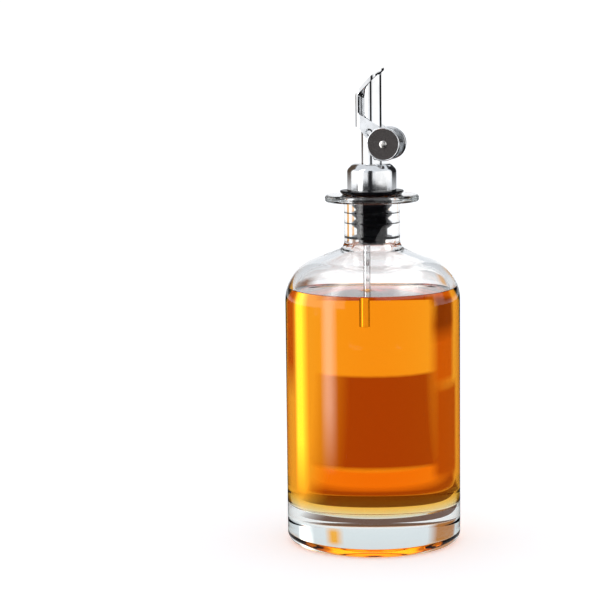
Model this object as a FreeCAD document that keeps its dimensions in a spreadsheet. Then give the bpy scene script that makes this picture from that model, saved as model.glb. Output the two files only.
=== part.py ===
import FreeCAD, Part
import Sketcher
import math
import os

# Glass oil bottle with a weighted flap pourer. Millimetres, +Z up, origin at the middle of the base.
# The spout pours towards +X and its flap turns about an axis along Y.

SIZES = [
    # glass bottle
    ("body_r", 40.0), ("wall", 3.3), ("base_round", 4.5), ("floor_z", 17.8), ("floor_round", 2.5),
    ("punt_r", 34.0), ("punt_flat_r", 31.0), ("punt_depth", 3.2), ("punt_round", 1.5),
    ("shoulder_edge_z", 126.0), ("shoulder_top_z", 136.3), ("shoulder_round", 20.0),
    ("shoulder_edge_in_z", 123.8), ("shoulder_top_in_z", 134.3), ("neck_r", 12.8), ("neck_fillet", 4.5),
    ("bore_r", 9.4), ("bore_flare", 4.0), ("lip_r", 21.5), ("lip_thick", 3.2), ("lip_round", 1.4),
    ("mouth_round", 0.8), ("bottle_top", 160.4),
    # oil
    ("oil_gap", 0.3), ("oil_level", 116.5), ("oil_taper_z", 112.0), ("oil_top_r", 35.8), ("oil_well_r", 1.95),
    # rubber stopper
    ("ring_r", 14.5), ("ring_low_r", 13.4), ("ring_thick", 1.9), ("ring_bevel", 0.6), ("barrel_r", 9.15),
    ("barrel_low_z", 155.6), ("waist_one_z", 153.3), ("waist_two_z", 149.5), ("core_r", 7.0), ("tail_r", 6.2),
    ("fin_one_z", 151.95), ("fin_two_z", 147.25), ("fin_three_z", 140.9), ("fin_r", 9.35), ("fin_lip", 0.45),
    ("fin_flank_r", 9.0), ("fin_flank", 0.8), ("fin_cone", 2.4), ("stopper_low_z", 137.3), ("hub_r", 10.1),
    ("hub_top_z", 168.3), ("fit_gap", 0.05),
    # dome
    ("dome_r", 11.3), ("dome_wall", 0.8), ("dome_top_z", 174.4), ("dome_shoulder_z", 171.5),
    ("dome_step_r", 9.4), ("dome_step_z", 173.7), ("dome_plate_r", 8.7), ("dome_in_step", 0.5),
    ("dome_in_drop", 0.3),
    # spout tube
    ("tube_r", 4.65), ("tube_wall", 0.5), ("tube_low_z", 137.7), ("flange_r", 6.4), ("flange_thick", 0.8),
    ("flare_z", 212.2), ("flare_top_z", 218.6), ("flare_out", 0.85), ("flare_round", 8.0), ("cut_mid_z", 210.9),
    ("cut_rise", 1.0), ("cut_reach", 9.0), ("vent_r", 0.8), ("vent_z", 176.7),
    # breather tube
    ("breather_r", 1.6), ("breather_bore_r", 1.15), ("breather_x", -2.57), ("breather_low_z", 100.9),
    ("breather_top_z", 178.3), ("breather_cap", 0.5),
    # flap
    ("pivot_z", 188.6), ("pivot_hole_r", 1.45), ("boss_r", 1.4), ("boss_reach", 3.95), ("dimple_r", 1.9),
    ("dimple_depth", 0.9), ("sheet", 0.6), ("arm_in_y", 4.95), ("band_x", -6.55),
    ("band_top_z", 205.9), ("band_low_z", 191.2), ("band_depth", 1.45), ("band_round", 2.4),
    ("band_bend", 5.0), ("band_foot_x", -5.4), ("lid_mid_z", 213.4), ("lid_crown", 20.0),
    ("lid_tip_x", 5.8), ("lid_tip_z", 217.6), ("lid_gap", 0.05), ("lid_end_round", 5.2),
    ("lid_in_x", 0.46), ("lid_in_drop", 0.41), ("bend_in_drop", 0.24), ("tip_in_drop", 0.03), ("lid_end_drop", 7.0),
    ("arm_back_z", 197.3), ("arm_foot_x", -4.3), ("arm_foot_drop", 0.8), ("arm_front_x", 4.6),
    ("arm_front_z", 191.6), ("arm_low_x", -1.4), ("arm_low_z", 186.3), ("lobe_r", 6.9),
    ("arm_root_rise", 4.5), ("arm_root_back", 3.5), ("arm_root_drop", 3.0), ("inside_drop", 9.0),
    # weights and their rivet
    ("weight_x", 7.0), ("weight_z", 183.45), ("weight_r", 7.6), ("weight_thick", 2.1), ("weight_bevel", 0.3),
    ("rivet_r", 1.0), ("rivet_head_r", 1.75), ("rivet_head", 0.5),
]


class Size:
    """A length: its value, and the sheet expression that drives it."""

    def __init__(self, value, text):
        self.value = value
        self.text = text

    def join(self, other, sign, value):
        return Size(value, "(%s %s %s)" % (self.text, sign, as_size(other).text))

    def __add__(self, other):
        return self.join(other, "+", self.value + as_size(other).value)

    def __sub__(self, other):
        return self.join(other, "-", self.value - as_size(other).value)

    def __mul__(self, other):
        return self.join(other, "*", self.value * as_size(other).value)

    def __neg__(self):
        return Size(-self.value, "(-1 * %s)" % self.text)


def as_size(number):
    return number if isinstance(number, Size) else Size(float(number), "%.6f" % number)


doc = FreeCAD.newDocument("oil_bottle")
sheet = doc.addObject("Spreadsheet::Sheet", "Sizes")
for row, (name, value) in enumerate(SIZES, start=1):
    sheet.set("A%d" % row, name)
    sheet.set("B%d" % row, str(value))
    sheet.setAlias("B%d" % row, name)
doc.recompute()
S = {name: Size(value, "Sizes." + name) for name, value in SIZES}
ZERO = as_size(0.0)


# ---- sketching ----

def new_body(name):
    body = doc.addObject("PartDesign::Body", name)
    body.Label = name
    body.Placement = FreeCAD.Placement()
    return body


def origin_feature(body, role):
    return [item for item in body.Origin.OriginFeatures if item.Role == role][0]


def new_sketch(body, name, role, offset=None):
    """Sketch on one of the body's own planes, moved along the plane's normal by offset."""
    sketch = body.newObject("Sketcher::SketchObject", body.Name + "_" + name)
    sketch.AttachmentSupport = [(origin_feature(body, role), "")]
    sketch.MapMode = "FlatFace"
    if offset is not None:
        sketch.setExpression("AttachmentOffset.Base.z", offset.text)
    doc.recompute()
    return sketch


def pin_point(sketch, geo, pos, x, y):
    """Hold a point at (x, y) from the sketch's origin, both driven by the sheet."""
    for kind, size in (("DistanceX", x), ("DistanceY", y)):
        index = sketch.addConstraint(Sketcher.Constraint(kind, -1, 1, geo, pos, size.value))
        sketch.setExpression("Constraints[%d]" % index, size.text)


def corner_arc(before, corner, after, radius):
    """Ends and middle of the arc that rounds a corner."""
    back = (before - corner).normalize()
    ahead = (after - corner).normalize()
    half = back.getAngle(ahead) / 2.0
    reach = radius / math.tan(half)
    centre = corner + (back + ahead).normalize() * (radius / math.sin(half))
    middle = centre + (corner - centre).normalize() * radius
    return corner + back * reach, middle, corner + ahead * reach


def draw_outline(sketch, corners):
    """Closed outline through corners (x, y) or (x, y, rounding radius)."""
    sizes = [(as_size(c[0]), as_size(c[1]), as_size(c[2]) if len(c) > 2 else None) for c in corners]
    points = [FreeCAD.Vector(x.value, y.value, 0) for x, y, _ in sizes]
    count = len(points)
    starts = list(points)
    ends = list(points)
    arcs = {}
    for i, (_, _, rounding) in enumerate(sizes):
        if rounding is not None:
            into, middle, out = corner_arc(points[i - 1], points[i], points[(i + 1) % count], rounding.value)
            ends[i] = into
            starts[i] = out
            arcs[i] = Part.Arc(into, middle, out)
    lines = [sketch.addGeometry(Part.LineSegment(starts[i], ends[(i + 1) % count])) for i in range(count)]
    for i, (x, y, rounding) in enumerate(sizes):
        before = lines[i - 1]
        after = lines[i]
        if rounding is None:
            sketch.addConstraint(Sketcher.Constraint("Coincident", before, 2, after, 1))
            pin_point(sketch, after, 1, x, y)
            continue
        arc = sketch.addGeometry(arcs[i])
        corner = sketch.addGeometry(Part.Point(points[i]), True)
        arc_start = 1
        if sketch.getPoint(arc, 1).distanceToPoint(ends[i]) > sketch.getPoint(arc, 2).distanceToPoint(ends[i]):
            arc_start = 2
        sketch.addConstraint([
            Sketcher.Constraint("Tangent", before, 2, arc, arc_start),
            Sketcher.Constraint("Tangent", after, 1, arc, 3 - arc_start),
            Sketcher.Constraint("PointOnObject", corner, 1, before),
            Sketcher.Constraint("PointOnObject", corner, 1, after),
        ])
        index = sketch.addConstraint(Sketcher.Constraint("Radius", arc, rounding.value))
        sketch.setExpression("Constraints[%d]" % index, rounding.text)
        pin_point(sketch, corner, 1, x, y)


def draw_circle(sketch, x, y, radius):
    centre = FreeCAD.Vector(x.value, y.value, 0)
    circle = sketch.addGeometry(Part.Circle(centre, FreeCAD.Vector(0, 0, 1), radius.value))
    pin_point(sketch, circle, 3, x, y)
    index = sketch.addConstraint(Sketcher.Constraint("Radius", circle, radius.value))
    sketch.setExpression("Constraints[%d]" % index, radius.text)


# ---- features ----

def add_feature(body, kind, name, sketch):
    feature = body.newObject("PartDesign::" + kind, body.Name + "_" + name)
    feature.Profile = sketch
    sketch.Visibility = False
    return feature


def turn(body, name, corners):
    """Full turn of an (r, z) outline about the body's Z axis."""
    sketch = new_sketch(body, name + "_profile", "XZ_Plane")
    draw_outline(sketch, corners)
    feature = add_feature(body, "Revolution", name, sketch)
    feature.ReferenceAxis = (sketch, ["V_Axis"])
    feature.Angle = 360.0
    doc.recompute()


def cut_both_ways(body, name, sketch, width=None):
    """Pocket the sketch to both sides of its plane, right through or over a total width."""
    before = body.Shape.Volume
    feature = add_feature(body, "Pocket", name, sketch)
    feature.Midplane = True
    if width is None:
        feature.Type = "ThroughAll"
    else:
        feature.setExpression("Length", width.text)
    doc.recompute()
    if body.Shape.Volume > before - 1e-6:
        raise RuntimeError("%s_%s cuts nothing" % (body.Name, name))


def cut_one_way(body, name, sketch, depth, flipped, taper=0.0):
    """Pocket the sketch to one side of its plane over a depth, narrowing by a taper in degrees."""
    before = body.Shape.Volume
    feature = add_feature(body, "Pocket", name, sketch)
    feature.setExpression("Length", depth.text)
    feature.Reversed = flipped
    feature.TaperAngle = taper
    doc.recompute()
    if body.Shape.Volume > before - 1e-6:
        raise RuntimeError("%s_%s cuts nothing" % (body.Name, name))


# ---- the pieces ----

def glass_bottle():
    body = new_body("glass_bottle")
    lip_low_z = S["bottle_top"] - S["lip_thick"]
    inner_r = S["body_r"] - S["wall"]
    turn(body, "glass", [
        (ZERO, S["punt_depth"]),
        (S["punt_flat_r"], S["punt_depth"], S["punt_round"]),
        (S["punt_r"], ZERO),
        (S["body_r"], ZERO, S["base_round"]),
        (S["body_r"], S["shoulder_edge_z"], S["shoulder_round"]),
        (S["neck_r"], S["shoulder_top_z"], S["neck_fillet"]),
        (S["neck_r"], lip_low_z, S["mouth_round"]),
        (S["lip_r"], lip_low_z, S["lip_round"]),
        (S["lip_r"], S["bottle_top"], S["lip_round"]),
        (S["bore_r"], S["bottle_top"], S["mouth_round"]),
        (S["bore_r"], S["shoulder_top_in_z"], S["bore_flare"]),
        (inner_r, S["shoulder_edge_in_z"], S["shoulder_round"] - S["wall"]),
        (inner_r, S["floor_z"], S["floor_round"]),
        (ZERO, S["floor_z"]),
    ])
    return body


def oil_fill():
    body = new_body("oil_fill")
    oil_r = S["body_r"] - S["wall"] - S["oil_gap"]
    turn(body, "oil", [
        (ZERO, S["floor_z"]),
        (oil_r, S["floor_z"], S["floor_round"]),
        (oil_r, S["oil_taper_z"]),
        (S["oil_top_r"], S["oil_level"]),
        (ZERO, S["oil_level"]),
    ])
    sketch = new_sketch(body, "well_circle", "XY_Plane", S["oil_level"])
    draw_circle(sketch, S["breather_x"], ZERO, S["oil_well_r"])
    depth = S["oil_level"] - S["breather_low_z"] + S["oil_gap"]
    cut_one_way(body, "well", sketch, depth, False)
    return body


def sealing_fin(lip_z, waist_z):
    """Corners of a sealing fin from its foot to the waist above: a thin lip on a cone that narrows both ways."""
    return [
        (S["core_r"], lip_z - S["fin_cone"]),
        (S["fin_flank_r"], lip_z - S["fin_flank"]),
        (S["fin_r"], lip_z),
        (S["fin_r"], lip_z + S["fin_lip"]),
        (S["core_r"], waist_z),
    ]


def rubber_stopper():
    body = new_body("rubber_stopper")
    bore = S["tube_r"] + S["fit_gap"]
    ring_top = S["bottle_top"] + S["ring_thick"]
    low_lip = S["fin_three_z"]
    corners = [
        (bore, S["stopper_low_z"]),
        (S["tail_r"], S["stopper_low_z"], 0.8),
        (S["tail_r"], low_lip - S["fin_lip"]),
        (S["fin_r"], low_lip),
        (S["fin_r"], low_lip + S["fin_lip"]),
        (S["core_r"], low_lip + S["fin_lip"] * 2.0),
    ]
    corners += sealing_fin(S["fin_two_z"], S["waist_two_z"])
    corners += sealing_fin(S["fin_one_z"], S["waist_one_z"])[1:]
    corners += [
        (S["barrel_r"], S["barrel_low_z"], 0.8),
        (S["barrel_r"], S["bottle_top"]),
        (S["ring_low_r"], S["bottle_top"], 0.4),
        (S["ring_r"], ring_top - S["ring_bevel"], 0.4),
        (S["ring_r"], ring_top, 0.3),
        (S["hub_r"], ring_top),
        (S["hub_r"], S["hub_top_z"], 1.2),
        (bore, S["hub_top_z"]),
    ]
    turn(body, "rubber", corners)
    return body


def dome_cap():
    body = new_body("dome_cap")
    low_z = S["bottle_top"] + S["ring_thick"]
    hole = S["tube_r"] + S["fit_gap"]
    wall = S["dome_wall"]
    turn(body, "shell", [
        (S["dome_r"] - wall, low_z),
        (S["dome_r"], low_z),
        (S["dome_r"], S["dome_shoulder_z"], 2.2),
        (S["dome_step_r"], S["dome_step_z"], 0.5),
        (S["dome_plate_r"], S["dome_top_z"], 0.4),
        (hole, S["dome_top_z"]),
        (hole, S["dome_top_z"] - wall),
        (S["dome_plate_r"] - S["dome_in_step"], S["dome_top_z"] - wall),
        (S["dome_r"] - wall, S["dome_shoulder_z"] - S["dome_in_drop"], 1.4),
    ])
    return body


def spout_tube():
    body = new_body("spout_tube")
    bore = S["tube_r"] - S["tube_wall"]
    flange_top = S["dome_top_z"] - S["dome_wall"]
    turn(body, "tube", [
        (bore, S["tube_low_z"]),
        (S["tube_r"], S["tube_low_z"]),
        (S["tube_r"], flange_top - S["flange_thick"]),
        (S["flange_r"], flange_top - S["flange_thick"]),
        (S["flange_r"], flange_top),
        (S["tube_r"], flange_top),
        (S["tube_r"], S["flare_z"], S["flare_round"]),
        (S["tube_r"] + S["flare_out"], S["flare_top_z"]),
        (bore + S["flare_out"], S["flare_top_z"]),
        (bore, S["flare_z"], S["flare_round"]),
    ])
    sketch = new_sketch(body, "cut_plane", "XZ_Plane")
    reach = S["cut_reach"]
    draw_outline(sketch, [
        (-reach, S["cut_mid_z"] - S["cut_rise"] * reach),
        (reach, S["cut_mid_z"] + S["cut_rise"] * reach),
        (-reach, S["cut_mid_z"] + S["cut_rise"] * reach),
    ])
    cut_both_ways(body, "slant", sketch)
    sketch = new_sketch(body, "pivot_circle", "XZ_Plane")
    draw_circle(sketch, ZERO, S["pivot_z"], S["pivot_hole_r"])
    cut_both_ways(body, "pivot_holes", sketch)
    sketch = new_sketch(body, "vent_circle", "YZ_Plane")
    draw_circle(sketch, ZERO, S["vent_z"], S["vent_r"])
    cut_one_way(body, "vent", sketch, S["tube_r"] + 1.0, False)
    return body


def breather_tube():
    body = new_body("breather_tube")
    body.setExpression("Placement.Base.x", S["breather_x"].text)
    turn(body, "tube", [
        (S["breather_bore_r"], S["breather_low_z"]),
        (S["breather_r"], S["breather_low_z"]),
        (S["breather_r"], S["breather_top_z"], 0.4),
        (ZERO, S["breather_top_z"]),
        (ZERO, S["breather_top_z"] - S["breather_cap"]),
        (S["breather_bore_r"], S["breather_top_z"] - S["breather_cap"]),
    ])
    sketch = new_sketch(body, "port_circle", "YZ_Plane")
    draw_circle(sketch, ZERO, S["vent_z"], S["vent_r"])
    cut_one_way(body, "port", sketch, S["breather_r"] + 0.5, False)
    return body


def flap_lid():
    """Pressed sheet: lid over the slanted mouth, band down the back, two arms with round ends."""
    body = new_body("flap_lid")
    outer_y = S["arm_in_y"] + S["sheet"]
    inner_x = S["band_x"] + S["sheet"]
    flange_x = S["band_x"] + S["band_depth"]

    def mouth_z(x):
        """Height, just above the slanted mouth, of the lid's lower edge at x."""
        return S["cut_mid_z"] + S["cut_rise"] * x + S["lid_gap"] * 1.414

    sketch = new_sketch(body, "side_outline", "XZ_Plane")
    draw_outline(sketch, [
        (S["band_x"], S["band_low_z"], 0.5),
        (S["band_x"], S["band_top_z"], S["band_bend"]),
        (ZERO, S["lid_mid_z"], S["lid_crown"]),
        (S["lid_tip_x"], S["lid_tip_z"]),
        (S["lid_tip_x"], mouth_z(S["lid_tip_x"])),
        (flange_x, mouth_z(flange_x), 2.0),
        (flange_x, S["arm_back_z"], 1.5),
        (S["arm_front_x"], S["arm_front_z"], 2.0),
        (S["weight_x"], S["weight_z"] + S["arm_root_rise"]),
        (S["weight_x"] - S["arm_root_back"], S["weight_z"] - S["arm_root_drop"]),
        (S["arm_low_x"], S["arm_low_z"], 2.0),
        (S["arm_foot_x"], S["band_low_z"] - S["arm_foot_drop"], 1.5),
        (S["band_foot_x"], S["band_low_z"], 0.8),
    ])
    pad = add_feature(body, "Pad", "block", sketch)
    pad.Midplane = True
    pad.setExpression("Length", (outer_y * 2.0).text)
    doc.recompute()

    for side, turned in (("near", False), ("far", True)):
        lobe = new_sketch(body, side + "_lobe_circle", "XZ_Plane", -outer_y if turned else S["arm_in_y"])
        draw_circle(lobe, S["weight_x"], S["weight_z"], S["lobe_r"])
        pad = add_feature(body, "Pad", side + "_lobe", lobe)
        pad.setExpression("Length", S["sheet"].text)
        doc.recompute()

    far_x = as_size(20.0)
    side_y = outer_y + 0.01
    past_y = outer_y + 2.0
    inside_z = S["weight_z"] - S["inside_drop"]
    sketch = new_sketch(body, "inside_outline", "XZ_Plane")
    draw_outline(sketch, [
        (inner_x, inside_z),
        (inner_x, S["band_top_z"] - S["bend_in_drop"], S["band_bend"] - S["sheet"]),
        (S["lid_in_x"], S["lid_mid_z"] - S["lid_in_drop"], S["lid_crown"] - S["sheet"]),
        (S["lid_tip_x"] + 1.0, S["lid_tip_z"] - S["tip_in_drop"]),
        (far_x, S["lid_tip_z"] - S["tip_in_drop"]),
        (far_x, inside_z),
    ])
    cut_both_ways(body, "inside", sketch, S["arm_in_y"] * 2.0)

    sketch = new_sketch(body, "rivet_circle", "XZ_Plane")
    draw_circle(sketch, S["weight_x"], S["weight_z"], S["rivet_r"] + S["fit_gap"])
    cut_both_ways(body, "rivet_holes", sketch)

    sketch = new_sketch(body, "plan_outline", "XY_Plane")
    draw_outline(sketch, [
        (S["band_x"] - 2.0, -past_y),
        (far_x, -past_y),
        (far_x, -side_y),
        (S["band_x"], -side_y, S["band_round"]),
        (S["band_x"], side_y, S["band_round"]),
        (far_x, side_y),
        (far_x, past_y),
        (S["band_x"] - 2.0, past_y),
    ])
    cut_both_ways(body, "plan_corners", sketch)

    above_z = S["cut_mid_z"] + 12.0
    sketch = new_sketch(body, "lid_end_outline", "XY_Plane", above_z)
    draw_outline(sketch, [
        (ZERO, -past_y),
        (far_x, -past_y),
        (far_x, past_y),
        (ZERO, past_y),
        (ZERO, side_y),
        (S["lid_tip_x"] + 0.01, side_y, S["lid_end_round"]),
        (S["lid_tip_x"] + 0.01, -side_y, S["lid_end_round"]),
        (ZERO, -side_y),
    ])
    cut_one_way(body, "lid_end", sketch, above_z - S["arm_back_z"] - S["lid_end_drop"], False)

    for side, sign in (("near", 1.0), ("far", -1.0)):
        boss = new_sketch(body, side + "_boss_circle", "XZ_Plane", S["boss_reach"] * sign)
        draw_circle(boss, ZERO, S["pivot_z"], S["boss_r"])
        pad = add_feature(body, "Pad", side + "_boss", boss)
        pad.setExpression("Length", (S["arm_in_y"] - S["boss_reach"] + 0.1).text)
        pad.Reversed = sign < 0
        doc.recompute()
        dimple = new_sketch(body, side + "_dimple_circle", "XZ_Plane", outer_y * sign)
        draw_circle(dimple, ZERO, S["pivot_z"], S["dimple_r"])
        cut_one_way(body, side + "_dimple", dimple, S["dimple_depth"], sign < 0, -45.0)
    return body


def weight_disc(name, side):
    """One weight, turned about its own axis and laid along Y; side is -1 near, +1 far."""
    body = new_body(name)
    body.Placement = FreeCAD.Placement(
        FreeCAD.Vector(S["weight_x"].value, 0, S["weight_z"].value),
        FreeCAD.Rotation(FreeCAD.Vector(1, 0, 0), -90.0 * side))
    body.setExpression("Placement.Base.x", S["weight_x"].text)
    body.setExpression("Placement.Base.z", S["weight_z"].text)
    low = S["arm_in_y"] + S["sheet"]
    high = low + S["weight_thick"]
    hole = S["rivet_r"] + S["fit_gap"]
    turn(body, "disc", [
        (hole, low),
        (S["weight_r"], low, S["weight_bevel"]),
        (S["weight_r"], high, S["weight_bevel"]),
        (hole, high),
    ])
    return body


def weight_rivet():
    body = new_body("weight_rivet")
    body.Placement = FreeCAD.Placement(
        FreeCAD.Vector(S["weight_x"].value, 0, S["weight_z"].value),
        FreeCAD.Rotation(FreeCAD.Vector(1, 0, 0), 90.0))
    body.setExpression("Placement.Base.x", S["weight_x"].text)
    body.setExpression("Placement.Base.z", S["weight_z"].text)
    half = S["arm_in_y"] + S["sheet"] + S["weight_thick"]
    turn(body, "rivet", [
        (ZERO, -half - S["rivet_head"]),
        (S["rivet_head_r"], -half - S["rivet_head"], 0.35),
        (S["rivet_head_r"], -half),
        (S["rivet_r"], -half),
        (S["rivet_r"], half),
        (S["rivet_head_r"], half),
        (S["rivet_head_r"], half + S["rivet_head"], 0.35),
        (ZERO, half + S["rivet_head"]),
    ])
    return body


PIECES = [glass_bottle(), oil_fill(), rubber_stopper(), dome_cap(), spout_tube(), breather_tube(), flap_lid(),
          weight_disc("near_weight", -1), weight_disc("far_weight", 1), weight_rivet()]

doc.recompute()
for item in doc.Objects:
    if "Invalid" in item.State or "Error" in item.State:
        raise RuntimeError("%s is not sound: %s" % (item.Name, item.State))

os.makedirs("parts", exist_ok=True)
for piece in PIECES:
    shape = piece.Shape
    if shape.isNull() or not shape.isValid() or len(shape.Solids) != 1:
        raise RuntimeError("%s is not one sound solid" % piece.Label)
    shape.exportStep(os.path.join("parts", piece.Label + ".step"))
    print("%-16s %9.1f mm3" % (piece.Label, shape.Volume))
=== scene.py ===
import math

import bpy
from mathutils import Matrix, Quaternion, Vector


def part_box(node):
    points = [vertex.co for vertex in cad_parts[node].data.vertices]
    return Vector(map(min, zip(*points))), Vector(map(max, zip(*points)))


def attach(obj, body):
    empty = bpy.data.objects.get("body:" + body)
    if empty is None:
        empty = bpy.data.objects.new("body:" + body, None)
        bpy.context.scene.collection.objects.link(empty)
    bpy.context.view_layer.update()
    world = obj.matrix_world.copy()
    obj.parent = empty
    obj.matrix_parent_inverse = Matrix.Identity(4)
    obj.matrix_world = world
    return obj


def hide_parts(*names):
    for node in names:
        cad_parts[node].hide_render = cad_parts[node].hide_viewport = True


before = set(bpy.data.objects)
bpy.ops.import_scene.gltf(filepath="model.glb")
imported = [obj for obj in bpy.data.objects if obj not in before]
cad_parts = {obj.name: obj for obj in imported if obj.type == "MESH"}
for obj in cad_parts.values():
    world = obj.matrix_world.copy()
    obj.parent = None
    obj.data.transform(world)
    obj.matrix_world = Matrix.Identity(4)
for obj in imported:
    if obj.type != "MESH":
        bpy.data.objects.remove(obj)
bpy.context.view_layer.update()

MM = 0.001

# ---------------------------------------------------------------- sizes, millimetres, as in the CAD
BODY_R, WALL, BASE_ROUND = 40.0, 3.3, 4.5
PUNT_R, PUNT_FLAT_R, PUNT_DEPTH, PUNT_ROUND = 34.0, 31.0, 3.2, 1.5
FLOOR_Z, FLOOR_ROUND = 17.8, 2.5
SHOULDER_R, WALL_TOP = 20.0, 112.3      # WALL_TOP is where the inner wall starts to bend in
SHOULDER_EDGE_Z, SHOULDER_EDGE_IN_Z = 126.0, 123.8
SHOULDER_TOP_Z, SHOULDER_TOP_IN_Z = 136.3, 134.3
NECK_R, NECK_FILLET = 12.8, 4.5
BORE_R, BORE_FLARE = 9.4, 4.0
LIP_R, LIP_THICK, LIP_ROUND, MOUTH_ROUND = 21.5, 3.2, 1.4, 0.8
BOTTLE_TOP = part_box("glass_bottle")[1].z / MM
OIL_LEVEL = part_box("oil_fill")[1].z / MM
RING_R, RING_LOW_R, RING_THICK = 14.5, 13.4, 1.9
RING_TOP = BOTTLE_TOP + RING_THICK
BARREL_R, BARREL_LOW = 9.15, 155.6
CORE_R, TAIL_R = 7.0, 6.2
HUB_R, HUB_TOP = 10.1, 168.3
STOPPER_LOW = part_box("rubber_stopper")[0].z / MM
DOME_R, DOME_WALL, DOME_TOP = 11.3, 0.8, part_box("dome_cap")[1].z / MM
TUBE_R, TUBE_WALL = 4.65, 0.5
TUBE_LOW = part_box("spout_tube")[0].z / MM
BREATHER_X, BREATHER_R, BREATHER_BORE_R, BREATHER_CAP = -2.57, 1.6, 1.15, 0.5
BREATHER_LOW, BREATHER_TOP = (corner.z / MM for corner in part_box("breather_tube"))
CUT_MID_Z, CUT_RISE = 210.9, 1.0
PIVOT_Z, PIVOT_HOLE_R = 188.6, 1.45
WEIGHT_X, WEIGHT_Z, WEIGHT_R = 7.0, 183.45, 7.6
WEIGHT_IN_Y, WEIGHT_OUT_Y = 5.55, 7.65
RIVET_R, RIVET_HEAD_R = 1.0, 1.75
FIT_GAP = 0.05

# ---------------------------------------------------------------- sizes that only the looks need
OVERLAP, CREEP = 0.12, 1.0              # how far the oil reaches into the glass, and up the wall
PRESSED_LIP_R = BORE_R + 0.02           # the stopper's lips, squeezed by the neck
FLARE_Z, FLARE_RISE, FLARE_OUT = 214.4, 3.0, 0.85
FACE_STEP = 0.12                        # how deep a weight's face lies in its rim
GLASS_IOR, OIL_IOR = 1.5, 1.47


def blend(first, second, share):
    return first + (second - first) * share


def oil_wall_r(z):
    """Radius of the oil against the wall at height z, in the cylinder and in the shoulder's arc."""
    arc_r = SHOULDER_R - WALL + OVERLAP
    return BODY_R - SHOULDER_R + math.sqrt(arc_r ** 2 - max(0.0, z - WALL_TOP) ** 2)


# ---------------------------------------------------------------- mesh building

def rounded(corners, step_deg=7.5):
    """Outline (r, z) with the corners that carry a third number rounded to that radius."""
    out = []
    count = len(corners)
    for i, corner in enumerate(corners):
        here = Vector(corner[:2])
        if len(corner) < 3:
            out.append(tuple(here))
            continue
        before = (Vector(corners[i - 1][:2]) - here).normalized()
        after = (Vector(corners[(i + 1) % count][:2]) - here).normalized()
        half = before.angle(after) / 2.0
        reach = corner[2] / math.tan(half)
        centre = here + (before + after).normalized() * (corner[2] / math.sin(half))
        start = here + before * reach - centre
        sweep = start.angle_signed(here + after * reach - centre)
        steps = max(2, int(round(abs(math.degrees(sweep)) / step_deg)))
        for k in range(steps + 1):
            turn = -sweep * k / steps
            x = start.x * math.cos(turn) - start.y * math.sin(turn)
            y = start.x * math.sin(turn) + start.y * math.cos(turn)
            out.append((centre.x + x, centre.y + y))
    return out


def mesh_object(name, verts, faces):
    mesh = bpy.data.meshes.new(name)
    mesh.from_pydata([Vector(v) * MM for v in verts], [], faces)
    mesh.validate()
    mesh.shade_smooth()
    mesh.set_sharp_from_angle(angle=math.radians(35.0))
    obj = bpy.data.objects.new(name, mesh)
    bpy.context.scene.collection.objects.link(obj)
    return obj


def lathe(name, outline, segments, height_of=None):
    """Closed turned solid from an outline (r, z) listed with the material on its left.

    Points on the axis become one vertex each. height_of(r, z, angle) may move a point along Z."""
    verts = []
    rings = []
    for r, z in outline:
        if r < 1e-6:
            rings.append([len(verts)])
            verts.append((0.0, 0.0, z))
            continue
        ring = []
        for k in range(segments):
            a = 2.0 * math.pi * k / segments
            height = height_of(r, z, a) if height_of else z
            ring.append(len(verts))
            verts.append((r * math.cos(a), r * math.sin(a), height))
        rings.append(ring)
    faces = []
    for i, low in enumerate(rings):
        high = rings[(i + 1) % len(rings)]
        if len(low) == 1 and len(high) == 1:
            continue
        for k in range(segments):
            n = (k + 1) % segments
            if len(low) == 1:
                faces.append((low[0], high[n], high[k]))
            elif len(high) == 1:
                faces.append((low[k], low[n], high[0]))
            else:
                faces.append((low[k], low[n], high[n], high[k]))
    return mesh_object(name, verts, faces)


def shift_x(obj, x):
    for v in obj.data.vertices:
        v.co.x += x * MM


def lay_along_y(obj, x, z):
    """Turn a lathed piece's axis from Z to Y and put it at (x, z)."""
    for v in obj.data.vertices:
        v.co = Vector((v.co.x + x * MM, v.co.z, -v.co.y + z * MM))


# ---------------------------------------------------------------- materials

def new_material(name):
    material = bpy.data.materials.new(name)
    material.use_nodes = True
    tree = material.node_tree
    shader = tree.nodes["Principled BSDF"]
    return material, tree, shader


def noise_node(tree, scale, detail=4.0, stretch=None):
    """Noise in metres of the object's own frame; stretch scales its axes."""
    noise = tree.nodes.new("ShaderNodeTexNoise")
    noise.inputs["Scale"].default_value = scale
    noise.inputs["Detail"].default_value = detail
    coords = tree.nodes.new("ShaderNodeTexCoord")
    if stretch is None:
        tree.links.new(coords.outputs["Object"], noise.inputs["Vector"])
        return noise
    mapping = tree.nodes.new("ShaderNodeMapping")
    mapping.inputs["Scale"].default_value = stretch
    tree.links.new(coords.outputs["Object"], mapping.inputs["Vector"])
    tree.links.new(mapping.outputs["Vector"], noise.inputs["Vector"])
    return noise


def spread(tree, source, low, high, start=0.35, end=0.65):
    """Map a value's stretch from start to end onto low to high, and hold it at both ends."""
    node = tree.nodes.new("ShaderNodeMapRange")
    node.inputs["From Min"].default_value = start
    node.inputs["From Max"].default_value = end
    node.inputs["To Min"].default_value = low
    node.inputs["To Max"].default_value = high
    tree.links.new(source, node.inputs["Value"])
    return node.outputs["Result"]


def add_bump(tree, shader, source, distance):
    bump = tree.nodes.new("ShaderNodeBump")
    bump.inputs["Strength"].default_value = 1.0
    bump.inputs["Distance"].default_value = distance
    tree.links.new(source, bump.inputs["Height"])
    tree.links.new(bump.outputs["Normal"], shader.inputs["Normal"])


def mix_colour(tree, factor, first, second):
    mix = tree.nodes.new("ShaderNodeMix")
    mix.data_type = "RGBA"
    mix.inputs["A"].default_value = (*first, 1.0)
    mix.inputs["B"].default_value = (*second, 1.0)
    tree.links.new(factor, mix.inputs["Factor"])
    return mix.outputs["Result"]


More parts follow.
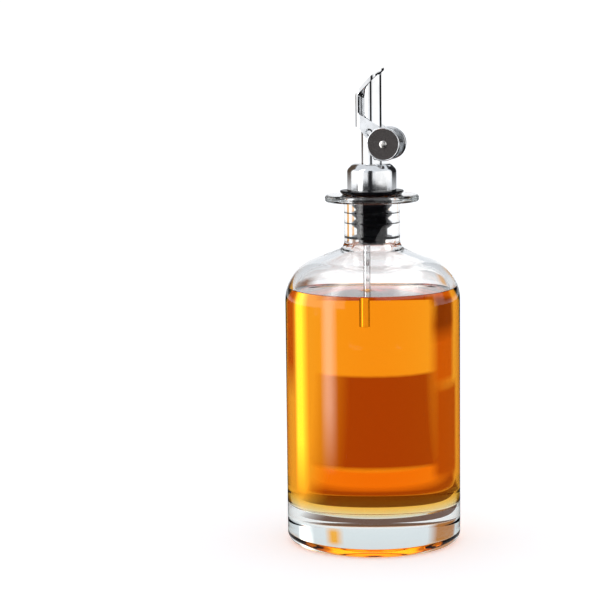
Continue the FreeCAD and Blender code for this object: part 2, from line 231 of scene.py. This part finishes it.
def math_node(tree, operation, first, second):
    """First is an output of another node, second a number or an output."""
    node = tree.nodes.new("ShaderNodeMath")
    node.operation = operation
    tree.links.new(first, node.inputs[0])
    if isinstance(second, float):
        node.inputs[1].default_value = second
    else:
        tree.links.new(second, node.inputs[1])
    return node.outputs["Value"]


def radius_and_height(tree):
    """Distance from the bottle's axis and height above its base, in metres."""
    coords = tree.nodes.new("ShaderNodeTexCoord")
    flat = tree.nodes.new("ShaderNodeVectorMath")
    flat.operation = "MULTIPLY"
    flat.inputs[1].default_value = (1.0, 1.0, 0.0)
    length = tree.nodes.new("ShaderNodeVectorMath")
    length.operation = "LENGTH"
    parts = tree.nodes.new("ShaderNodeSeparateXYZ")
    tree.links.new(coords.outputs["Object"], flat.inputs[0])
    tree.links.new(flat.outputs["Vector"], length.inputs[0])
    tree.links.new(coords.outputs["Object"], parts.inputs["Vector"])
    return length.outputs["Value"], parts.outputs["Z"]


def set_absorption(tree, colour, density):
    """Tint the light by its way through the piece; density is per metre."""
    absorb = tree.nodes.new("ShaderNodeVolumeAbsorption")
    absorb.inputs["Color"].default_value = (*colour, 1.0)
    absorb.inputs["Density"].default_value = density
    tree.links.new(absorb.outputs["Volume"], tree.nodes["Material Output"].inputs["Volume"])


def clear_glass():
    """Where oil wets the inside, light passes from glass to oil: a smaller step than from glass to air."""
    material, tree, shader = new_material("clear_glass")
    shader.inputs["Base Color"].default_value = (1.0, 1.0, 1.0, 1.0)
    shader.inputs["Transmission Weight"].default_value = 1.0
    radius, height = radius_and_height(tree)
    inside = math_node(tree, "LESS_THAN", radius, (BODY_R - WALL / 2.0) * MM)
    above = math_node(tree, "GREATER_THAN", height, (FLOOR_Z - 1.0) * MM)
    below = math_node(tree, "LESS_THAN", height, (OIL_LEVEL + CREEP) * MM)
    wet = math_node(tree, "MULTIPLY", math_node(tree, "MULTIPLY", inside, above), below)
    tree.links.new(spread(tree, wet, GLASS_IOR, GLASS_IOR / OIL_IOR, 0.0, 1.0), shader.inputs["IOR"])
    wear = noise_node(tree, 900.0, 6.0)
    tree.links.new(spread(tree, wear.outputs["Fac"], 0.0, 0.012, 0.5, 0.75), shader.inputs["Roughness"])
    wave = noise_node(tree, 28.0, 1.0, (1.0, 1.0, 0.55))
    add_bump(tree, shader, wave.outputs["Fac"], 0.00003)
    set_absorption(tree, (0.80, 0.93, 0.90), 6.0)
    return material


def amber_oil():
    """Only the free surface bends light: against the wall the glass does it."""
    material, tree, shader = new_material("amber_oil")
    shader.inputs["Base Color"].default_value = (1.0, 1.0, 1.0, 1.0)
    shader.inputs["Transmission Weight"].default_value = 1.0
    shader.inputs["Roughness"].default_value = 0.0
    radius, height = radius_and_height(tree)
    top_r = oil_wall_r(OIL_LEVEL + CREEP)
    free = math_node(tree, "MULTIPLY", math_node(tree, "LESS_THAN", radius, (top_r - 0.02) * MM),
                     math_node(tree, "GREATER_THAN", height, (OIL_LEVEL - 0.05) * MM))
    tree.links.new(spread(tree, free, 1.0, OIL_IOR, 0.0, 1.0), shader.inputs["IOR"])
    set_absorption(tree, (0.9897, 0.770, 0.07), 75.0)
    return material


def polished_steel(name, tint, rough, grain):
    """Bright metal with faint smudges and the fine lines that polishing leaves."""
    material, tree, shader = new_material(name)
    smudge = noise_node(tree, 260.0, 5.0)
    lines = noise_node(tree, 900.0, 3.0, grain)
    dark = tuple(0.90 * c for c in tint)
    tree.links.new(mix_colour(tree, spread(tree, smudge.outputs["Fac"], 0.0, 1.0), tint, dark),
                   shader.inputs["Base Color"])
    shader.inputs["Metallic"].default_value = 1.0
    tree.links.new(spread(tree, smudge.outputs["Fac"], rough, rough + 0.04), shader.inputs["Roughness"])
    add_bump(tree, shader, lines.outputs["Fac"], 0.0000015)
    return material


def drawn_steel_painted_reflection():
    """Thin drawn tube with a painted reflection: its colour is bright down the middle and darkened along its
    two edges by the viewing angle, standing in for the dark surroundings it mirrors.
    """
    material, tree, shader = new_material("drawn_steel_painted_reflection")
    lines = noise_node(tree, 900.0, 3.0, (1.0, 1.0, 0.02))
    # painted reflection: the Facing output darkens the base colour towards the tube's edges, so the dark
    # edges slide with the view
    slant = tree.nodes.new("ShaderNodeLayerWeight")
    tree.links.new(mix_colour(tree, spread(tree, slant.outputs["Facing"], 0.0, 1.0, 0.22, 0.55),
                              (0.90, 0.91, 0.92), (0.13, 0.12, 0.12)), shader.inputs["Base Color"])
    shader.inputs["Metallic"].default_value = 1.0
    tree.links.new(spread(tree, lines.outputs["Fac"], 0.08, 0.16), shader.inputs["Roughness"])
    add_bump(tree, shader, lines.outputs["Fac"], 0.0000015)
    return material


def black_rubber():
    material, tree, shader = new_material("black_rubber")
    dust = noise_node(tree, 420.0, 6.0)
    tree.links.new(mix_colour(tree, spread(tree, dust.outputs["Fac"], 0.0, 1.0, 0.45, 0.8),
                              (0.003, 0.003, 0.004), (0.006, 0.006, 0.008)), shader.inputs["Base Color"])
    shader.inputs["Specular IOR Level"].default_value = 0.04
    tree.links.new(spread(tree, dust.outputs["Fac"], 0.24, 0.28), shader.inputs["Roughness"])
    grain = noise_node(tree, 2600.0, 3.0)
    add_bump(tree, shader, grain.outputs["Fac"], 0.000008)
    return material


def weight_face():
    """Dark, fine-grained cast face of the weights."""
    material, tree, shader = new_material("weight_face")
    fleck = noise_node(tree, 2400.0, 4.0)
    tree.links.new(mix_colour(tree, spread(tree, fleck.outputs["Fac"], 0.0, 1.0, 0.42, 0.66),
                              (0.030, 0.026, 0.025), (0.135, 0.12, 0.115)), shader.inputs["Base Color"])
    shader.inputs["Metallic"].default_value = 0.6
    tree.links.new(spread(tree, fleck.outputs["Fac"], 0.5, 0.7), shader.inputs["Roughness"])
    add_bump(tree, shader, fleck.outputs["Fac"], 0.00004)
    return material


GLASS = clear_glass()
OIL = amber_oil()
CHROME = polished_steel("chrome", (0.88, 0.89, 0.90), 0.02, (1.0, 1.0, 0.02))
SATIN = polished_steel("satin_steel", (0.88, 0.89, 0.90), 0.11, (1.0, 1.0, 0.02))
# steel with a painted reflection: its colour darkens towards its edges by viewing angle
DRAWN_PAINTED_REFLECTION = drawn_steel_painted_reflection()
SHEET = polished_steel("pressed_sheet", (0.86, 0.87, 0.88), 0.06, (1.0, 1.0, 0.05))
RIVET = polished_steel("rivet_metal", (0.78, 0.76, 0.73), 0.22, (1.0, 0.2, 1.0))
RUBBER = black_rubber()
FACE = weight_face()


# ---------------------------------------------------------------- the pieces

def finish_piece(obj, body, node, slot, *materials):
    for material in materials:
        obj.data.materials.append(material)
    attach(obj, body)
    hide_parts(node)


def make_bottle():
    lip_low = BOTTLE_TOP - LIP_THICK
    inner = BODY_R - WALL
    outline = rounded([
        (0.0, PUNT_DEPTH),
        (PUNT_FLAT_R, PUNT_DEPTH, PUNT_ROUND),
        (PUNT_R, 0.0, 0.5),
        (BODY_R, 0.0, BASE_ROUND),
        (BODY_R, SHOULDER_EDGE_Z, SHOULDER_R),
        (NECK_R, SHOULDER_TOP_Z, NECK_FILLET),
        (NECK_R, lip_low, MOUTH_ROUND),
        (LIP_R, lip_low, LIP_ROUND),
        (LIP_R, BOTTLE_TOP, LIP_ROUND),
        (BORE_R, BOTTLE_TOP, MOUTH_ROUND),
        (BORE_R, SHOULDER_TOP_IN_Z, BORE_FLARE),
        (inner, SHOULDER_EDGE_IN_Z, SHOULDER_R - WALL),
        (inner, FLOOR_Z, FLOOR_ROUND),
        (0.0, FLOOR_Z),
    ], 5.0)
    bottle = lathe("bottle_glass", outline, 288)
    finish_piece(bottle, "bottle", "glass_bottle", "clear_glass", GLASS)


def make_oil():
    """Fills the bottle to the wall, climbs it a little, and climbs the breather tube a little too."""
    side = oil_wall_r(0.0)
    low = FLOOR_Z - OVERLAP
    outline = rounded([(0.0, low), (side, low, FLOOR_ROUND + OVERLAP), (side, 60.0)], 5.0)
    outline.append((side, 100.0))
    arc_low, arc_high = WALL_TOP - 1.0, OIL_LEVEL + CREEP
    for k in range(9):
        z = blend(arc_low, arc_high, k / 8.0)
        outline.append((oil_wall_r(z), z))
    top_r = oil_wall_r(arc_high)
    for k in range(1, 60):
        r = top_r * (1.0 - (k / 60.0) ** 1.6)
        outline.append((r, OIL_LEVEL + CREEP * math.exp(-(top_r - r) / 1.3)))
    outline.append((0.0, OIL_LEVEL))

    def creep(r, z, angle):
        """Height of the free surface, raised near the breather tube."""
        if z < OIL_LEVEL - 0.01 or r > top_r - 1.0:
            return z
        gap = math.hypot(r * math.cos(angle) - BREATHER_X, r * math.sin(angle)) - BREATHER_R
        return z + 0.8 * math.exp(-max(gap, 0.0) / 0.9)

    oil = lathe("oil_body", outline, 192, creep)
    finish_piece(oil, "bottle", "oil_fill", "oil", OIL)


def sealing_fin(lip_z, waist_z):
    """From below the lip up to the waist above it; the pressed lip reaches just into the glass."""
    return [
        (9.0, lip_z - 0.8, 0.3),
        (PRESSED_LIP_R, lip_z, 0.08),
        (PRESSED_LIP_R, lip_z + 0.45, 0.1),
        (CORE_R, waist_z, 0.5),
    ]


def make_stopper():
    """The lowest lip is pressed flat against the neck, so it shows as a thick band."""
    bore = TUBE_R + FIT_GAP
    outline = rounded([
        (bore, STOPPER_LOW, 0.3),
        (TAIL_R, STOPPER_LOW, 0.8),
        (TAIL_R, 139.9, 0.3),
        (PRESSED_LIP_R, 140.35, 0.08),
        (PRESSED_LIP_R, 141.5, 0.12),
        (CORE_R, 141.9, 0.4),
        (CORE_R, 144.85, 0.5),
        *sealing_fin(147.25, 149.5),
        *sealing_fin(151.95, 153.3),
        (BARREL_R, BARREL_LOW, 0.8),
        (BARREL_R, BOTTLE_TOP, 0.2),
        (RING_LOW_R, BOTTLE_TOP, 0.4),
        (RING_R, RING_TOP - 0.6, 0.4),
        (RING_R, RING_TOP, 0.3),
        (HUB_R, RING_TOP, 0.2),
        (HUB_R, HUB_TOP, 1.2),
        (bore, HUB_TOP),
    ], 15.0)
    stopper = lathe("stopper_rubber", outline, 144)
    finish_piece(stopper, "pourer", "rubber_stopper", "black_rubber", RUBBER)


def make_dome():
    hole = TUBE_R + FIT_GAP
    inner = DOME_R - DOME_WALL
    outline = rounded([
        (inner, RING_TOP),
        (DOME_R, RING_TOP, 0.15),
        (DOME_R, 171.8, 3.0),
        (9.3, 173.9, 0.9),
        (8.5, DOME_TOP, 0.4),
        (hole, DOME_TOP, 0.15),
        (hole, DOME_TOP - DOME_WALL),
        (8.2, DOME_TOP - DOME_WALL),
        (inner, 171.2, 1.4),
    ], 9.0)
    dome = lathe("dome_shell", outline, 144)
    finish_piece(dome, "pourer", "dome_cap", "polished_steel", SATIN)


def flare_at(z):
    """How much wider the spout is at height z than below: it opens only towards its tip."""
    return 1.0 + FLARE_OUT / TUBE_R * max(0.0, (z - FLARE_Z) / FLARE_RISE) ** 1.5


def make_spout():
    """Tube with a slanted mouth: each line up its wall is squeezed to end on the slant, then flared."""
    bore = TUBE_R - TUBE_WALL
    bend_z, high_z = 205.0, 218.6
    low_part = [blend(TUBE_LOW, bend_z, k / 24.0) for k in range(24)]
    high_part = [blend(bend_z, high_z, k / 24.0) for k in range(25)]
    outline = [(TUBE_R, z) for z in low_part + high_part]
    outline += [(bore, z) for z in reversed(low_part + high_part)]
    tube = lathe("spout_pipe", outline, 96)
    for v in tube.data.vertices:
        x, y, z = v.co / MM
        if z < bend_z:
            continue
        mouth = CUT_MID_Z + CUT_RISE * x
        for _ in range(4):
            mouth = CUT_MID_Z + CUT_RISE * x * flare_at(mouth)
        z = bend_z + (z - bend_z) * (mouth - bend_z) / (high_z - bend_z)
        v.co = Vector((x * flare_at(z), y * flare_at(z), z)) * MM
    reach = 8.0
    cutter_outline = [(0.0, -reach), (PIVOT_HOLE_R, -reach), (PIVOT_HOLE_R, reach), (0.0, reach)]
    cutter = lathe("pivot_cutter", cutter_outline, 40)
    lay_along_y(cutter, 0.0, PIVOT_Z)
    cut = tube.modifiers.new("pivot_holes", "BOOLEAN")
    cut.object = cutter
    cut.solver = "EXACT"
    deps = bpy.context.evaluated_depsgraph_get()
    mesh = bpy.data.meshes.new_from_object(tube.evaluated_get(deps))
    tube.modifiers.clear()
    tube.data = mesh
    bpy.data.objects.remove(cutter)
    finish_piece(tube, "pourer", "spout_tube", "polished_steel", CHROME)


def make_breather():
    under_cap = BREATHER_TOP - BREATHER_CAP
    outline = rounded([
        (BREATHER_BORE_R, BREATHER_LOW, 0.1),
        (BREATHER_R, BREATHER_LOW, 0.15),
        (BREATHER_R, BREATHER_TOP, 0.4),
        (0.0, BREATHER_TOP),
        (0.0, under_cap),
        (BREATHER_BORE_R, under_cap),
    ])
    pipe = lathe("breather_pipe", outline, 64)
    shift_x(pipe, BREATHER_X)
    # the breather tube carries a painted reflection: its colour darkens towards its edges with the viewing
    # angle
    finish_piece(pipe, "pourer", "breather_tube", "polished_steel", DRAWN_PAINTED_REFLECTION)


def make_weight(name, node, side):
    """Disc with a dark face set into a bright rim; side is -1 for the near weight, 1 for the far one."""
    low, high = WEIGHT_IN_Y, WEIGHT_OUT_Y
    hole = RIVET_R + FIT_GAP
    disc = lathe(name, rounded([
        (hole, low),
        (WEIGHT_R, low, 0.3),
        (WEIGHT_R, high, 0.3),
        (WEIGHT_R - 0.45, high, 0.1),
        (WEIGHT_R - 0.6, high - FACE_STEP, 0.1),
        (hole, high - FACE_STEP),
    ], 15.0), 96)
    lay_along_y(disc, WEIGHT_X, WEIGHT_Z)
    if side < 0:
        for v in disc.data.vertices:
            v.co.y = -v.co.y
        disc.data.flip_normals()
    finish_piece(disc, "flap", node, "weight_steel", CHROME, FACE, SATIN)
    for face in disc.data.polygons:
        centre = face.center
        radius = math.hypot(centre.x - WEIGHT_X * MM, centre.z - WEIGHT_Z * MM)
        if abs(face.normal.y) > 0.9 and radius < (WEIGHT_R - 0.5) * MM:
            face.material_index = 1 if face.normal.y * side > 0.0 else 2


def make_rivet():
    """Pin with a low domed head at each end, seated on the weights' sunken faces."""
    low, high = -WEIGHT_OUT_Y, WEIGHT_OUT_Y
    rivet = lathe("weight_rivet_pin", rounded([
        (0.0, low - 0.55),
        (0.9, low - 0.5, 0.5),
        (RIVET_HEAD_R, low - 0.25, 0.3),
        (RIVET_HEAD_R, low + FACE_STEP),
        (RIVET_R, low + FACE_STEP),
        (RIVET_R, high - FACE_STEP),
        (RIVET_HEAD_R, high - FACE_STEP),
        (RIVET_HEAD_R, high + 0.25, 0.3),
        (0.9, high + 0.5, 0.5),
        (0.0, high + 0.55),
    ], 15.0), 48)
    lay_along_y(rivet, WEIGHT_X, WEIGHT_Z)
    finish_piece(rivet, "flap", "weight_rivet", "rivet_steel", RIVET)


make_bottle()
make_oil()
make_stopper()
make_dome()
make_spout()
make_breather()
make_weight("near_disc", "near_weight", -1)
make_weight("far_disc", "far_weight", 1)
make_rivet()
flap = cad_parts["flap_lid"]
flap.data.materials.clear()
flap.data.materials.append(SHEET)


# ---------------------------------------------------------------- studio

def make_floor():
    """Round pale floor, with a slight glow of its own so that it stays even."""
    steps, radius = 64, 6000.0
    turns = [2.0 * math.pi * k / steps for k in range(steps)]
    ring = [(radius * math.cos(turn), radius * math.sin(turn), 0.0) for turn in turns]
    floor = mesh_object("studio_floor", ring, [tuple(range(steps))])
    material, tree, shader = new_material("studio_floor")
    grain = noise_node(tree, 8.0, 2.0)
    tree.links.new(mix_colour(tree, grain.outputs["Fac"], (0.92, 0.92, 0.92), (0.94, 0.94, 0.94)),
                   shader.inputs["Base Color"])
    shader.inputs["Roughness"].default_value = 0.9
    shader.inputs["Specular IOR Level"].default_value = 0.0
    shader.inputs["Emission Color"].default_value = (1.0, 1.0, 1.0, 1.0)
    shader.inputs["Emission Strength"].default_value = 0.32
    floor.data.materials.append(material)


def light_material(name, colour, strength, soft):
    """Glow that fades out towards the card's edges over these shares of its half width and half height."""
    material = bpy.data.materials.new(name)
    material.use_nodes = True
    tree = material.node_tree
    tree.nodes.clear()
    out_node = tree.nodes.new("ShaderNodeOutputMaterial")
    glow = tree.nodes.new("ShaderNodeEmission")
    glow.inputs["Color"].default_value = (*colour, 1.0)
    glow.inputs["Strength"].default_value = strength
    clear = tree.nodes.new("ShaderNodeBsdfTransparent")
    mix = tree.nodes.new("ShaderNodeMixShader")
    place = tree.nodes.new("ShaderNodeAttribute")
    place.attribute_name = "place"
    parts = tree.nodes.new("ShaderNodeSeparateXYZ")
    tree.links.new(place.outputs["Vector"], parts.inputs["Vector"])
    shares = []
    for axis, share in zip(("X", "Y"), (max(soft[0], 0.001), max(soft[1], 0.001))):
        outward = math_node(tree, "ABSOLUTE", parts.outputs[axis], 0.0)
        shares.append(spread(tree, outward, 1.0, 0.0, 1.0 - share, 1.0))
    tree.links.new(math_node(tree, "MULTIPLY", shares[0], shares[1]), mix.inputs["Fac"])
    tree.links.new(clear.outputs["BSDF"], mix.inputs[1])
    tree.links.new(glow.outputs["Emission"], mix.inputs[2])
    tree.links.new(mix.outputs["Shader"], out_node.inputs["Surface"])
    return material


def stage_card(name, point_at, colour, strength, soft=(0.2, 0.2), mirrored=True, seen_through=True):
    """Glowing card that shows only in reflections and through the glass and oil.

    point_at gives its points, in metres, for two shares from 0 to 1."""
    steps = 12
    verts = []
    places = []
    for j in range(steps + 1):
        for i in range(steps + 1):
            verts.append(point_at(i / steps, j / steps) / MM)
            places.append((2.0 * i / steps - 1.0, 2.0 * j / steps - 1.0, 0.0))
    row = steps + 1
    faces = [(j * row + i, j * row + i + 1, (j + 1) * row + i + 1, (j + 1) * row + i)
             for j in range(steps) for i in range(steps)]
    card = mesh_object(name, verts, faces)
    place = card.data.attributes.new("place", "FLOAT_VECTOR", "POINT")
    for item, value in zip(place.data, places):
        item.vector = value
    card.data.materials.append(light_material(name, colour, strength, soft))
    card.visible_camera = False
    card.visible_shadow = False
    card.visible_diffuse = False
    card.visible_glossy = mirrored
    card.visible_transmission = seen_through


VIEW_ANGLE = math.radians(13.0)         # the camera's bearing, from the near side towards the spout
VIEW_RIGHT = Vector((math.cos(VIEW_ANGLE), math.sin(VIEW_ANGLE), 0.0))
VIEW_BACK = Vector((-math.sin(VIEW_ANGLE), math.cos(VIEW_ANGLE), 0.0))


def at(right, back, up):
    """Point on the stage, in metres: to the right of the camera's view, behind the bottle, and up."""
    return VIEW_RIGHT * right + VIEW_BACK * back + Vector((0.0, 0.0, up))


def standing_card(name, left, right, low, high, colour, strength, **how):
    """Upright card from left (right, back) to right (right, back), between two heights."""
    def point_at(u, v):
        return at(blend(left[0], right[0], u), blend(left[1], right[1], u), blend(low, high, v))
    stage_card(name, point_at, colour, strength, **how)


def far_card(name, start, end, colour, strength, distance=1.2, low=0.0, high=1.3, **how):
    """Upright card between two bearings, in degrees clockwise from the camera as seen from above."""
    left, right = ((-distance * math.sin(math.radians(b)), -distance * math.cos(math.radians(b)))
                   for b in (start, end))
    standing_card(name, left, right, low, high, colour, strength, **how)


ABOVE_FLOOR = 0.0004


def lying_card(name, near, near_sides, far, far_sides, colour, strength, up=ABOVE_FLOOR, **how):
    """Level card: distances behind the bottle's axis, each with its left and right ends."""
    def point_at(u, v):
        right = blend(blend(*near_sides, u), blend(*far_sides, u), v)
        return at(right, blend(near, far, v), up)
    stage_card(name, point_at, colour, strength, **how)


def lying_arc(name, near, far, start, end, colour, strength, **how):
    """Patch on the table between two distances from the bottle's axis and two bearings."""
    def point_at(u, v):
        bearing = math.radians(blend(start, end, u))
        reach = blend(near, far, v)
        return at(-reach * math.sin(bearing), -reach * math.cos(bearing), ABOVE_FLOOR)
    stage_card(name, point_at, colour, strength, **how)


def make_world():
    """Plain white to the camera; to everything else a white that dims a little with height."""
    world = bpy.data.worlds.new("studio")
    bpy.context.scene.world = world
    world.use_nodes = True
    tree = world.node_tree
    seen = tree.nodes["Background"]
    seen.inputs["Strength"].default_value = 1.05
    seen.inputs["Color"].default_value = (1.0, 1.0, 1.0, 1.0)
    other = tree.nodes.new("ShaderNodeBackground")
    other.inputs["Strength"].default_value = 1.0
    coords = tree.nodes.new("ShaderNodeTexCoord")
    parts = tree.nodes.new("ShaderNodeSeparateXYZ")
    tree.links.new(coords.outputs["Generated"], parts.inputs["Vector"])
    rise = spread(tree, parts.outputs["Z"], 0.0, 1.0, 0.0, 0.22)
    tree.links.new(mix_colour(tree, rise, (0.99, 0.99, 1.0), (0.78, 0.81, 0.85)), other.inputs["Color"])
    path = tree.nodes.new("ShaderNodeLightPath")
    mix = tree.nodes.new("ShaderNodeMixShader")
    tree.links.new(path.outputs["Is Camera Ray"], mix.inputs["Fac"])
    tree.links.new(other.outputs["Background"], mix.inputs[1])
    tree.links.new(seen.outputs["Background"], mix.inputs[2])
    tree.links.new(mix.outputs["Shader"], tree.nodes["World Output"].inputs["Surface"])


def make_camera():
    """A little above the pourer's tip, aimed to the left of the bottle at about half its height."""
    distance, height = 0.9308, 0.2321
    aim_left, aim_height, roll = 0.0333, 0.1120, math.radians(-0.63)
    data = bpy.data.cameras.new("camera")
    data.sensor_width = 36.0
    data.lens = 122.676
    data.clip_start = 0.05
    camera = bpy.data.objects.new("camera", data)
    bpy.context.scene.collection.objects.link(camera)
    camera.location = at(0.0, -distance, height)
    aim = at(-aim_left, 0.0, aim_height)
    camera.rotation_mode = "QUATERNION"
    look = (aim - camera.location).to_track_quat("-Z", "Y")
    camera.rotation_quaternion = look @ Quaternion((0, 0, 1), roll)
    bpy.context.scene.camera = camera


make_floor()
make_world()
DARK = (0.015, 0.015, 0.017)
WHITE = (1.0, 1.0, 1.0)

# what the oil and the glass show of the room behind
standing_card("strip_behind", (0.0110, 0.07), (0.0290, 0.07), 0.004, 0.135, (1.0, 0.98, 0.95), 3.2,
              soft=(0.65, 0.45), mirrored=False)
far_card("neighbour_high", 164.0, 139.0, (0.22, 0.09, 0.03), 1.0, distance=0.14, low=0.070, high=0.130,
         soft=(0.5, 0.3), mirrored=False)
far_card("neighbour_mid", 164.0, 139.0, (0.66, 0.29, 0.08), 1.0, distance=0.141, low=0.044, high=0.088,
         soft=(0.5, 0.4), mirrored=False)
far_card("neighbour_low", 163.0, 133.0, (0.50, 0.20, 0.06), 1.0, distance=0.142, low=0.0, high=0.050,
         soft=(0.4, 0.2), mirrored=False)
far_card("neighbour_right", 214.0, 238.0, (0.55, 0.21, 0.05), 1.0, distance=0.14, low=0.040, high=0.130,
         soft=(0.5, 0.4), mirrored=False)
far_card("amber_left", 158.0, 136.0, (0.85, 0.40, 0.05), 1.0, distance=0.3, low=0.095, high=0.142,
         soft=(0.2, 0.2), mirrored=False)
far_card("amber_right", 192.0, 202.0, (1.0, 0.45, 0.04), 1.0, distance=0.6, low=0.09, high=0.20,
         soft=(0.8, 0.6), mirrored=False)
# painted shade: a brown patch on the table far behind the bottle, standing in for the bottle's amber-tinted
# shadow, seen only through the oil and the glass
lying_arc("table_far_painted_shade", 0.178, 0.462, 206.0, 141.0, (0.42, 0.17, 0.10), 1.0,
          soft=(0.55, 0.08), mirrored=False)
# painted light: a warm glow lying on the table behind the bottle, standing in for the amber caustic light the
# oil throws there, seen only through the oil and the glass
lying_card("table_painted_caustic_glow", 0.100, (-0.09, 0.040), 0.185, (-0.16, 0.080), (1.0, 0.60, 0.30), 1.0, up=0.0002,
           soft=(0.3, 0.3), mirrored=False)
# painted shade: a darker patch on the table behind the bottle, seen only through the oil and the glass
lying_card("table_shade", 0.084, (-0.08, 0.030), 0.140, (-0.13, 0.060), (0.40, 0.16, 0.07), 1.0, up=0.0006,
           soft=(0.3, 0.8), mirrored=False)
# painted shadow: a dark band on the table just behind the bottle's heel, standing in for its contact shadow
lying_card("table_painted_shadow_band", 0.0580, (-0.07, 0.014), 0.096, (-0.10, 0.034), (0.16, 0.08, 0.055), 1.0,
           soft=(0.3, 0.03), mirrored=False)
lying_card("lamp_above", -0.6, (-0.7, 0.7), 0.7, (-0.7, 0.7), WHITE, 3.0, up=0.9, mirrored=False)

# what the steel, the rubber and the glass mirror
far_card("softbox_left", 42.0, 66.0, WHITE, 4.5, distance=0.2, high=0.5, soft=(0.8, 0.16))
far_card("fill_left", 36.0, 112.0, WHITE, 1.3, distance=2.3, low=-0.3, soft=(0.2, 0.2), seen_through=False)
far_card("fill_right", -100.0, -12.0, WHITE, 1.2, distance=2.3, low=-0.3, soft=(0.2, 0.2), seen_through=False)
far_card("flag_front", -6.0, 20.0, DARK, 1.0, low=-0.2, soft=(0.4, 0.2), seen_through=False)
# these stand close in front of the bottle, to darken what the top of its wall mirrors
for start in range(-60, 24, 12):
    far_card("flag_near_%d" % start, start, start + 12.0, DARK, 1.0, distance=0.060, low=0.098, high=0.124,
             soft=(0.0, 0.1), seen_through=False)
far_card("flag_behind_left", 108.0, 165.0, (0.10, 0.07, 0.05), 1.0, soft=(0.2, 0.2), seen_through=False)
far_card("flag_behind_right", -165.0, -105.0, DARK, 1.0, soft=(0.12, 0.2), seen_through=False)
lying_arc("table_gloss", 0.02, 1.45, -180.0, 180.0, DARK, 1.0, soft=(0.0, 0.05), seen_through=False)
lying_arc("table_front", 0.80, 2.60, -80.0, 80.0, DARK, 1.0, soft=(0.1, 0.1))
make_camera()
bpy.context.scene.view_settings.view_transform = "Standard"
# light crosses the walls of the bottle many times before it leaves
paths = bpy.context.scene.cycles
paths.max_bounces, paths.glossy_bounces, paths.transmission_bounces = 16, 8, 16
